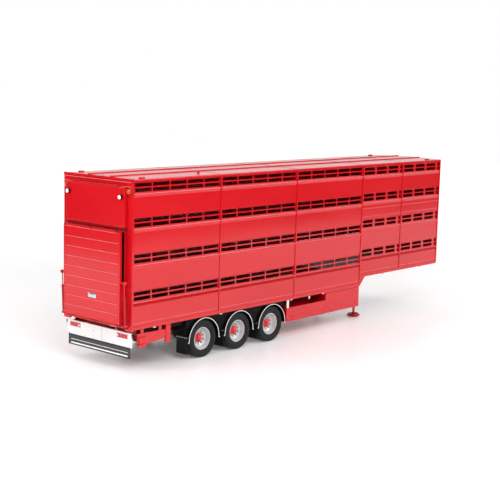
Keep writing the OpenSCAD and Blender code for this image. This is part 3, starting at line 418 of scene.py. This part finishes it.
def guard_liner(sign):
    """Black splash panel round the three wheel arches, up to the sill."""
    first, last = at(AXLES["rear"]), at(AXLES["front"])
    radius, steps, top = 0.5605, 28, 1.086
    outline = [(first - 0.64, top), (first - 0.64, GUARD_LIP_H)]
    for station in AXLES.values():
        cx = at(station)
        a0 = math.asin((GUARD_LIP_H - HUB_H) / radius)
        for k in range(steps + 1):
            a = math.pi - a0 - (math.pi - 2 * a0) * k / steps
            outline.append((cx + radius * math.cos(a), HUB_H + radius * math.sin(a)))
    outline += [(last + 0.6, GUARD_LIP_H), (last + 0.6, top)]
    return Shape().prism(outline, 1, (sign * 1.192, sign * 1.2))


for side, sign in SIDES.items():
    guard_liner(sign).make(f"guard_liner_{side}", MATS["black_plastic"], "chassis",
                           "black_plastic", smooth=False)
    apron = Shape()
    behind = at(AXLES["rear"]) - FLAP_BACK
    apron.box((behind - 0.006, behind + 0.012), (sign * 0.8, sign * 1.2), (0.6, 1.088))
    apron.box((behind - 0.012, behind - 0.004), (sign * 0.8, sign * 1.2), (0.72, 0.735))
    apron.make(f"guard_apron_{side}", MATS["black_plastic"], "chassis", "black_plastic",
               bevel=0.003)
    # A black plate set in under the sill, from near the bumper to the guards: painted shade.
    shadow_plate = Shape()
    shadow_plate.box((at(0.27), behind), (sign * 1.15, sign * 1.156), (0.96, 1.088))
    shadow_plate.make(f"skirt_shade_plate_{side}", MATS["black_plastic"], "chassis",
                      "black_plastic", bevel=0.001)
    flaps, bars = Shape(), Shape()
    for station in AXLES.values():
        back = at(station) - FLAP_BACK
        for k in range(5):
            z = 0.2 + 0.035 * k
            flaps.box((back - 0.0115, back - 0.0075), (sign * 0.9, sign * 1.21),
                      (z, z + 0.012))
        for y in (0.88, 1.05, 1.22):
            bars.rod((back - 0.013, sign * y, 0.6), 0, 0.013, 0.012, 6)
        bars.box((back - 0.013, back - 0.0075), (sign * 0.86, sign * 1.25), (0.585, 0.615))
    flaps.make(f"flap_ribs_{side}", MATS["rubber"], "chassis", "rubber", bevel=0.0015)
    bars.make(f"flap_clamps_{side}", MATS["steel"], "chassis", "steel", bevel=0.001)


# Two plain white stripes across the spray flap
spray = Shape()
for low, high in ((0.395, 0.43), (0.5, 0.512)):
    spray.box((at(FLAP_X) - 0.0025, at(FLAP_X) + 0.001), (-1.07, 1.07), (low, high))
spray.make("spray_flap_bands", PRINT, "chassis", "white", smooth=False)
hem = Shape()
hem.box((at(FLAP_X) - 0.005, at(FLAP_X) + 0.0005), (-1.17, 1.17), (0.36, 0.367))
hem.box((at(FLAP_X) - 0.007, at(FLAP_X) + 0.0005), (-1.165, 1.165), (0.612, 0.638))
for k in range(15):
    hem.rod((at(FLAP_X) - 0.008, -1.1 + k * 2.2 / 14, 0.625), 0, 0.011, 0.012, 6)
hem.make("spray_flap_clamp", MATS["rubber"], "chassis", "rubber", bevel=0.001)


# ---------------------------------------------------------------- lamps

def dome(shape, centre, axis, direction, r, rise, steps=28, rings=6):
    """A rounded cap of radius r that stands rise above centre along axis."""
    profile = [(r, 0.0)]
    for k in range(1, rings + 1):
        a = math.pi / 2 * k / rings
        profile.append((max(r * math.cos(a), 0.0008), direction * rise * math.sin(a)))
    return shape.lathe([(r, -direction * 0.004)] + profile, centre, axis, steps)


for side, sign in SIDES.items():
    housing, lens, clear = Shape(), Shape(), Shape()
    x0, x1 = at(0.042), at(0.058)
    y_in, y_out = sign * 0.692, sign * 1.09
    housing.box((x0 + 0.003, x1), (y_in - sign * 0.006, y_out + sign * 0.006),
                (0.839, 0.971))
    for k in range(3):
        a = y_in + sign * (0.004 + k * 0.132)
        b = a + sign * 0.124
        target = clear if k == 0 else lens
        lens.box((x0 - 0.004, x0 + 0.006), (a, b), (0.851, 0.959))
        for j in range(4):
            z = 0.859 + j * 0.024
            lens.box((x0 - 0.009, x0 - 0.003), (a + sign * 0.006, b - sign * 0.006),
                     (z, z + 0.014))
        if k == 0:
            target.box((x0 - 0.012, x0 - 0.004), (a + sign * 0.01, a + sign * 0.06),
                       (0.88, 0.93))
    housing.make(f"tail_lamp_case_{side}", MATS["white_plastic"], "chassis",
                 "white_plastic", bevel=0.003)
    lens.make(f"tail_lamp_lens_{side}", MATS["red_lens"], "chassis", "red_lens",
              bevel=0.0025, stand_for=["tail_lamps"] if side == "left" else ())
    clear.make(f"tail_lamp_clear_{side}", CLEAR, "chassis", "white_plastic", bevel=0.003)

    plate, amber = Shape(), Shape()
    lamp_y, lamp_h = sign * CORNER_LAMP_Y, CORNER_LAMP_H
    plate.box((at(-0.008), at(0.0)), (lamp_y - 0.066, lamp_y + 0.07),
              (lamp_h - 0.075, lamp_h + 0.075))
    plate.lathe([(0.062, 0.0), (0.062, -0.012), (0.059, -0.016)],
                (at(-0.006), lamp_y, lamp_h), 0, 40)
    plate.lathe([(0.025, 0.0), (0.025, -0.046), (0.022, -0.05)],
                (at(-0.012), lamp_y, lamp_h), 0, 32)
    amber.lathe([(0.057, 0.0), (0.057, -0.034), (0.054, -0.04), (0.05, -0.043), (0.041, -0.045),
                 (0.038, -0.043), (0.034, -0.034), (0.025, -0.034)],
                (at(-0.014), lamp_y, lamp_h), 0, 40)
    dome(amber, (at(-0.056), lamp_y, lamp_h), 0, -1, 0.021, 0.014)
    plate.make(f"corner_lamp_base_{side}", MATS["dark_red"], "chassis", "dark_red", bevel=0.002,
               stand_for=["corner_lamps"] if side == "left" else ())
    amber.make(f"corner_lamp_lens_{side}", MATS["amber_lens"], "chassis", "amber_lens")

    shell, glass = Shape(), Shape()
    centre = (at(-0.122), sign * WORK_LAMP_Y, WORK_LAMP_H)
    shell.lathe([(0.02, 0.032), (0.024, 0.012), (0.05, 0.004), (0.058, -0.012),
                 (0.06, -0.03), (0.056, -0.034)], centre, 0, 40)
    shell.box((at(-0.105), at(-0.09)), (sign * WORK_LAMP_Y - 0.03, sign * WORK_LAMP_Y + 0.03),
              (4.285, 4.395))
    dome(glass, (at(-0.154), sign * WORK_LAMP_Y, WORK_LAMP_H), 0, -1, 0.054, 0.034, 40, 8)
    shell.make(f"work_lamp_shell_{side}", MATS["black_plastic"], "upper_door",
               "black_plastic", bevel=0.001,
               stand_for=["work_lamps"] if side == "left" else ())
    glass.make(f"work_lamp_glass_{side}", CLEAR, "upper_door", "white_plastic")

# Side markers under the sills, and an outline lamp on an arm at each end of the bumper
markers, arms = Shape(), Shape()
for sign in (-1, 1):
    for station in (0.793, 3.213, 6.123, 7.59, 10.6, 12.7):
        top = 1.09 if station < STEP else 1.352
        markers.box((at(station) - 0.045, at(station) + 0.045), (sign * 1.236, sign * 1.262),
                    (top - 0.03, top - 0.001))
        arms.box((at(station) - 0.05, at(station) + 0.05), (sign * 1.23, sign * 1.24),
                 (top - 0.034, top))
    arms.box((at(0.064), at(0.088)), (sign * 1.205, sign * 1.217), (0.93, 0.95))
    arms.lathe([(0.014, 0.0), (0.03, 0.012), (0.034, 0.03), (0.034, 0.07), (0.028, 0.08)],
               (at(0.076), sign * 1.231, 0.905), 2, 24)
    for front in (-1, 1):
        dome(markers, (at(0.076) + front * 0.02, sign * 1.231, 0.955), 0, front, 0.02, 0.018,
             20)
arms.make("marker_lamp_bases", MATS["black_plastic"], "chassis", "black_plastic",
          bevel=0.002, stand_for=["marker_lamps"])
markers.make("marker_lamp_lenses", CLEAR, "chassis", "white_plastic", bevel=0.004)


# ---------------------------------------------------------------- tail details

# Blank badge plate with round corners and two rivets
badge = Shape()
badge_y, badge_h = -0.041, 1.83
half_l, half_h, corner = 0.146, 0.062, 0.012
outline = []
for cy, cz, a0 in ((half_l, half_h, 0), (-half_l, half_h, 90), (-half_l, -half_h, 180),
                   (half_l, -half_h, 270)):
    for k in range(5):
        a = math.radians(a0 + 22.5 * k)
        outline.append((badge_y + cy - math.copysign(corner, cy) + corner * math.cos(a),
                        badge_h + cz - math.copysign(corner, cz) + corner * math.sin(a)))
badge.prism(outline, 0, (at(RAMP_FACE) - 0.001, at(RAMP_FACE) + 0.012))
for y in (badge_y - half_l + 0.015, badge_y + half_l - 0.015):
    badge.rod((at(RAMP_FACE), y, badge_h), 0, 0.006, 0.003, 12)
badge.make("ramp_badge_blank", BADGE, "ramp", "silver", bevel=0.001)

trim = Shape()
gusset, width = 0.11, 0.012            # slanting beads in the lower corners
for sign in (-1, 1):
    y0, z0 = sign * 0.99, 1.30
    trim.prism([(y0, z0 + gusset), (y0, z0 + gusset + width * 1.4),
                (y0 - sign * gusset, z0 + width * 1.4),
                (y0 - sign * gusset, z0)], 0, (at(-0.206), at(-0.198)))
    trim.box((at(-0.204), at(-0.198)), (sign * 0.99, sign * 0.998), (1.31, 3.47))
for z in (1.262, 3.495):
    trim.box((at(-0.204), at(-0.198)), (-0.99, 0.99), (z, z + 0.008))
trim.make("ramp_edge_beads", MATS["red_alloy"], "ramp", "red_alloy", bevel=0.002)

latch, catch = Shape(), Shape()
for y in (0.0, -0.945):
    latch.box((at(-0.212), at(-0.196)), (y - 0.05, y + 0.05), (3.5, 3.526))
    latch.rod((at(-0.214), y, 3.513), 0, 0.016, 0.02, 20)
    latch.box((at(-0.224), at(-0.212)), (y - 0.01, y + 0.07), (3.506, 3.52))
latch.make("ramp_latches", DARK_METAL, "ramp", "steel", bevel=0.003)
for sign in (-1, 1):
    catch.box((at(-0.03), at(0.0)), (sign * 1.06, sign * 1.1), (3.53, 3.57))
    catch.rod((at(-0.024), sign * 1.12, 3.55), 1, 0.01, 0.16, 16)
catch.make("ramp_bolts", DARK_METAL, "chassis", "steel", bevel=0.003)

# Black strips in the gap beside each side of the ramp: painted shade.
gap_shades = Shape()
for sign in (-1, 1):
    gap_shades.box((at(-0.135), at(-0.06)), (sign * 1.05, sign * 1.0535), (2.26, 3.5))
gap_shades.make("ramp_side_gap_shade", MATS["black_plastic"], "ramp", "black_plastic", bevel=0.001)

# Lighter beads in the grooves between the ramp's planks: painted highlight.
ribs = Shape()
ramp_top_h, plank_pitch, face = 3.53, 0.25, at(RAMP_FACE)
for k in range(9):
    z = ramp_top_h - 0.061 - plank_pitch * k
    ribs.prism([(face, z - 0.006), (face - 0.005, z - 0.002), (face - 0.005, z + 0.004),
                (face, z + 0.009)], 1, (-0.99, 0.99))
ribs.make("ramp_plank_edges", PAINTED_HIGHLIGHT, "ramp", "red_alloy")

door_trim = Shape()
for z in (3.62, 4.56):
    door_trim.box((at(-0.094), at(-0.088)), (-1.07, 1.07), (z, z + 0.012))
for sign in (-1, 1):
    door_trim.box((at(-0.094), at(-0.088)), (sign * 1.06, sign * 1.07), (3.62, 4.57))
door_trim.make("upper_door_beads", MATS["red_alloy"], "upper_door", "red_alloy", bevel=0.002)

post = Shape()
for sign in (-1, 1):
    post.box((at(-0.005), at(0.001)), (sign * 1.262, sign * 1.27), (1.1, 4.72))
    post.box((at(-0.006), at(0.001)), (sign * 1.08, sign * 1.092), (1.25, 4.56))
    for k in range(12):
        post.rod((at(-0.002), sign * 1.24, 1.22 + 0.265 * k), 0, 0.009, 0.008, 12)
post.make("corner_post_trim", MATS["red"], "chassis", "red", bevel=0.0015)

# Two lighter beads along the header's edges: painted highlight.
header = Shape()
for z, r in ((4.703, 0.009), (4.592, 0.008)):
    header.rod((at(-0.014), 0, z), 1, r, 2.44, 12)
header.make("header_beads", PAINTED_HIGHLIGHT, "chassis", "red", bevel=0.001)

# A thin dark line in the bumper's seam and dark dots for its holes: painted shade.
seam = Shape()
seam.box((at(0.0575), at(0.0585)), (-0.124, -0.117), (0.65, 0.99))
seam.rod((at(0.058), 0.2, 0.85), 0, 0.012, 0.006, 16)
for sign in (-1, 1):
    for y in (0.2, 0.55, 1.14):
        seam.rod((at(0.057), sign * y, 0.67), 0, 0.009, 0.007, 6)
seam.make("bumper_seam", GAP_SHADE, "chassis", "rubber", bevel=0.0004)


# ---------------------------------------------------------------- rivets, seams and small parts

def rivet_rows(name, rows):
    """rows holds (first station, last station, side sign, y, z, pitch)."""
    s = Shape()
    for x0, x1, sign, y, z, pitch in rows:
        count = int((x1 - x0) / pitch)
        for k in range(count + 1):
            dome(s, (at(x0 + k * pitch), sign * y, z), 1, sign, 0.007, 0.004, 10, 3)
    s.make(name, MATS["red"], "chassis", "red")


for side, sign in SIDES.items():
    rivet_rows(f"sill_rivets_{side}", [
        (0.15, 9.3, sign, HALF_W, 1.15, 0.2), (0.15, 9.3, sign, HALF_W, 1.105, 0.2),
        (9.45, 13.5, sign, HALF_W, 1.412, 0.2), (0.15, 13.5, sign, HALF_W, 4.73, 0.2)])
    pillar = Shape()
    for station in PANEL_SEAMS:
        foot = 1.2 if station < STEP else 1.46
        count = int((4.7 - foot) / 0.18)
        for k in range(count + 1):
            for dx in (-0.011, 0.011):
                dome(pillar, (at(station) + dx, sign * HALF_W, foot + 0.18 * k), 1, sign,
                     0.005, 0.003, 8, 3)
    pillar.make(f"pillar_rivets_{side}", MATS["red"], "chassis", "red")

    # Edge beads under each row of slots, at the turned-in top of the sheet below it, in a lighter
    # red: painted highlight. Under the lowest row a deep red slope: painted shade.
    lips, shades, line = Shape(), Shape(), Shape()
    for x0, x1, rows, slot in ((0.055, 9.33, (1.92, 2.84, 3.72, 4.574), 0.092),
                               (9.372, 13.555, (2.073, 2.967, 3.766, 4.561), 0.09)):
        for row in rows:
            edge = row - 0.017 - slot - 0.012 - 0.034
            lips.rod((at((x0 + x1) / 2), sign * 1.268, edge), 0, 0.007, x1 - x0, 10)
            if row == rows[0]:
                shades.prism([(sign * 1.2705, edge - 0.004), (sign * 1.2715, edge - 0.012),
                              (sign * 1.2595, edge - 0.09), (sign * 1.2575, edge - 0.09)], 0,
                             (at(x0), at(x1)))
    lips.make(f"lip_beads_{side}", PAINTED_HIGHLIGHT, "chassis", "red_alloy")
    shades.make(f"lip_shades_{side}", SHADE, "chassis", "red_alloy", smooth=False)
    # Lighter beads along the foot of the side walls: painted highlight.
    for x0, x1, z in ((0.055, 9.345, 1.245), (9.36, 13.555, 1.5)):
        line.rod((at((x0 + x1) / 2), sign * 1.2575, z), 0, 0.006, x1 - x0, 10)
    line.make(f"sill_beads_{side}", PAINTED_HIGHLIGHT, "chassis", "red_alloy")

    lock = Shape()
    for x in (7.695 + 0.36, 9.342 - 0.36):
        lock.lathe([(0.028, 0.0), (0.028, sign * 0.004), (0.02, sign * 0.0055)],
                   (at(x), sign * 1.2645, 0.6), 1, 28)
        lock.box((at(x) - 0.006, at(x) + 0.006), (sign * 1.266, sign * 1.2735),
                 (0.575, 0.625))
    lock.make(f"locker_locks_{side}", MATS["steel"], f"locker_door_{side}", "steel",
              bevel=0.0015)

roof_seams = Shape()
for station in PANEL_SEAMS:
    for sign in (-1, 1):
        roof_seams.prism([(sign * 0.02, 4.7985), (sign * 1.19, 4.7748), (sign * 1.19, 4.7788),
                          (sign * 0.02, 4.8025)], 0, (at(station) - 0.012, at(station) + 0.012))
roof_seams.make("roof_seams", MATS["red_alloy"], "chassis", "red_alloy", smooth=False)

for axle, station in AXLES.items():
    rings = Shape()
    for sign in (-1, 1):
        rings.rod((at(station) - 0.24, sign * 0.41, HUB_H - 0.02), 0, 0.074, 0.018, 32)
        rings.rod((at(station) - 0.335, sign * 0.41, HUB_H - 0.02), 0, 0.04, 0.03, 24)
        for dx in (-0.06, 0.06):
            rings.rod((at(station) + dx, sign * ARM_Y, HUB_H + 0.115), 2, 0.013, 0.03, 6)
    rings.make(f"axle_clamps_{axle}", MATS["steel"], f"axle_{axle}", "steel", bevel=0.002)

    piston, bag = Shape(), Shape()
    seat_x = at(station) - BELLOWS_BACK
    for sign in (-1, 1):
        spot = (seat_x, sign * ARM_Y, BELLOWS_SEAT_H)
        piston.lathe([(0.084, 0.0), (0.084, 0.006), (0.078, 0.01), (0.07, 0.075), (0.064, 0.08)],
                     spot, 2, 40)
        bag.lathe([(0.072, 0.066), (0.086, 0.058), (0.102, 0.062), (0.11, 0.078), (0.11, 0.112),
                   (0.106, 0.128), (0.109, 0.14), (0.106, 0.156), (0.094, 0.162), (0.094, 0.17),
                   (0.086, 0.171)], spot, 2, 64)
    piston.make(f"bellows_piston_{axle}", MATS["black_metal"], f"axle_{axle}", "black_metal")
    sleeve = bag.make(f"bellows_bag_{axle}", MATS["rubber"], None, "rubber",
                      stand_for=["air_bellows"] if axle == "rear" else ())
    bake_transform(sleeve)


# ---------------------------------------------------------------- studio

FLOOR_CORNERS = [(-19, -17), (70, -17), (70, 70), (-19, 70)]
FADE_FROM, FADE_TO = 12.0, 30.0       # metres from the origin over which the floor turns white
FADE_LOW, FADE_HIGH = 0.1, 0.45       # strength of the floor's own glow there
SKY_TOWARDS = (0.35, 0.31, 0.88)      # brightest part of the sky that lights the trailer
SKY_STRENGTH = 0.75
SOFTBOXES = [                         # name, place, aim, size, watts
    ("key", (-12, -18, 17), (0, 0, 2), (16, 12), 3250),
    ("side", (14, -20, 14), (2, 0, 2), (12, 10), 1900),
    ("tail", (-26, 6, 11), (-6, 0, 2), (10, 8), 2500),
]


def studio_floor():
    """A plain pale floor that glows faintly, which lightens the trailer's shadow on it, and more
    far off, so that it meets the white ground softly.
    """
    floor_shape = bmesh.new()
    floor_shape.faces.new([floor_shape.verts.new((x, y, 0)) for x, y in FLOOR_CORNERS])
    mesh = bpy.data.meshes.new("floor")
    floor_shape.to_mesh(mesh)
    floor_shape.free()
    floor = bpy.data.objects.new("floor", mesh)
    bpy.context.scene.collection.objects.link(floor)
    white = material("floor_white", (0.93, 0.93, 0.93), 0.35, vary=0.01, patch=0.4,
                     rough_vary=0.03)
    mesh.materials.append(white)
    t = white.node_tree
    shader = t.nodes["Principled BSDF"]
    where = t.nodes.new("ShaderNodeTexCoord")
    away = t.nodes.new("ShaderNodeVectorMath")
    away.operation = "LENGTH"
    fade = t.nodes.new("ShaderNodeMapRange")
    fade.inputs["From Min"].default_value = FADE_FROM
    fade.inputs["From Max"].default_value = FADE_TO
    fade.inputs["To Min"].default_value = FADE_LOW
    fade.inputs["To Max"].default_value = FADE_HIGH
    _link(t, where, "Object", away, 0)
    _link(t, away, "Value", fade, "Value")
    _link(t, fade, "Result", shader, "Emission Strength")
    shader.inputs["Emission Color"].default_value = (1, 1, 1, 1)


def studio_sky():
    """Plain white to the camera. The light that it casts is stronger from above."""
    world = bpy.data.worlds.new("studio")
    bpy.context.scene.world = world
    world.use_nodes = True
    t = world.node_tree
    t.nodes.clear()
    out = t.nodes.new("ShaderNodeOutputWorld")
    mix = t.nodes.new("ShaderNodeMixShader")
    seen = t.nodes.new("ShaderNodeBackground")
    lit = t.nodes.new("ShaderNodeBackground")
    path = t.nodes.new("ShaderNodeLightPath")
    where = t.nodes.new("ShaderNodeTexCoord")
    aim = t.nodes.new("ShaderNodeVectorMath")
    ramp = t.nodes.new("ShaderNodeValToRGB")
    seen.inputs["Color"].default_value = (1, 1, 1, 1)
    seen.inputs["Strength"].default_value = 1.0
    aim.operation = "DOT_PRODUCT"
    aim.inputs[1].default_value = SKY_TOWARDS
    ramp.color_ramp.elements[0].position = 0.0
    ramp.color_ramp.elements[0].color = (0.12, 0.12, 0.12, 1)
    ramp.color_ramp.elements[1].position = 0.55
    ramp.color_ramp.elements[1].color = (1.15, 1.15, 1.15, 1)
    lit.inputs["Strength"].default_value = SKY_STRENGTH
    _link(t, where, "Generated", aim, 0)
    _link(t, aim, "Value", ramp, "Fac")
    _link(t, ramp, "Color", lit, "Color")
    _link(t, path, "Is Camera Ray", mix, 0)
    _link(t, lit, 0, mix, 1)
    _link(t, seen, 0, mix, 2)
    _link(t, mix, 0, out, "Surface")


def softbox(name, place_at, target, size, power):
    """A rectangular lamp aimed at a point."""
    lamp = bpy.data.lights.new(name, "AREA")
    lamp.shape, lamp.size, lamp.size_y = "RECTANGLE", size[0], size[1]
    lamp.energy = power
    obj = bpy.data.objects.new(name, lamp)
    bpy.context.scene.collection.objects.link(obj)
    obj.location = place_at
    aim_at = Vector(target) - Vector(place_at)
    obj.rotation_mode = "QUATERNION"
    obj.rotation_quaternion = aim_at.to_track_quat("-Z", "Y")


CAMERA_AT = (-25.215, -21.327, 7.219)
CAMERA_TURN = (48.66, 8.51, 1.45)     # yaw from +Y towards +X, pitch down and roll, degrees
LENS, SENSOR = 82.3, 36.0             # millimetres


def camera():
    """Long lens from behind the right rear corner."""
    yaw, pitch, roll = (math.radians(a) for a in CAMERA_TURN)
    look = Vector((math.sin(yaw) * math.cos(pitch), math.cos(yaw) * math.cos(pitch),
                   -math.sin(pitch)))
    flat = Vector((math.cos(yaw), -math.sin(yaw), 0))
    rise = flat.cross(look)
    right = flat * math.cos(roll) + rise * math.sin(roll)
    up = -flat * math.sin(roll) + rise * math.cos(roll)
    data = bpy.data.cameras.new("camera")
    data.lens, data.sensor_width = LENS, SENSOR
    data.clip_start, data.clip_end = 0.5, 300
    obj = bpy.data.objects.new("camera", data)
    bpy.context.scene.collection.objects.link(obj)
    m = Matrix((right, up, -look)).transposed().to_4x4()
    m.translation = Vector(CAMERA_AT)
    obj.matrix_world = m
    bpy.context.scene.camera = obj


studio_floor()
studio_sky()
for box_of_light in SOFTBOXES:
    softbox(*box_of_light)
camera()
bpy.context.scene.view_settings.view_transform = "Standard"
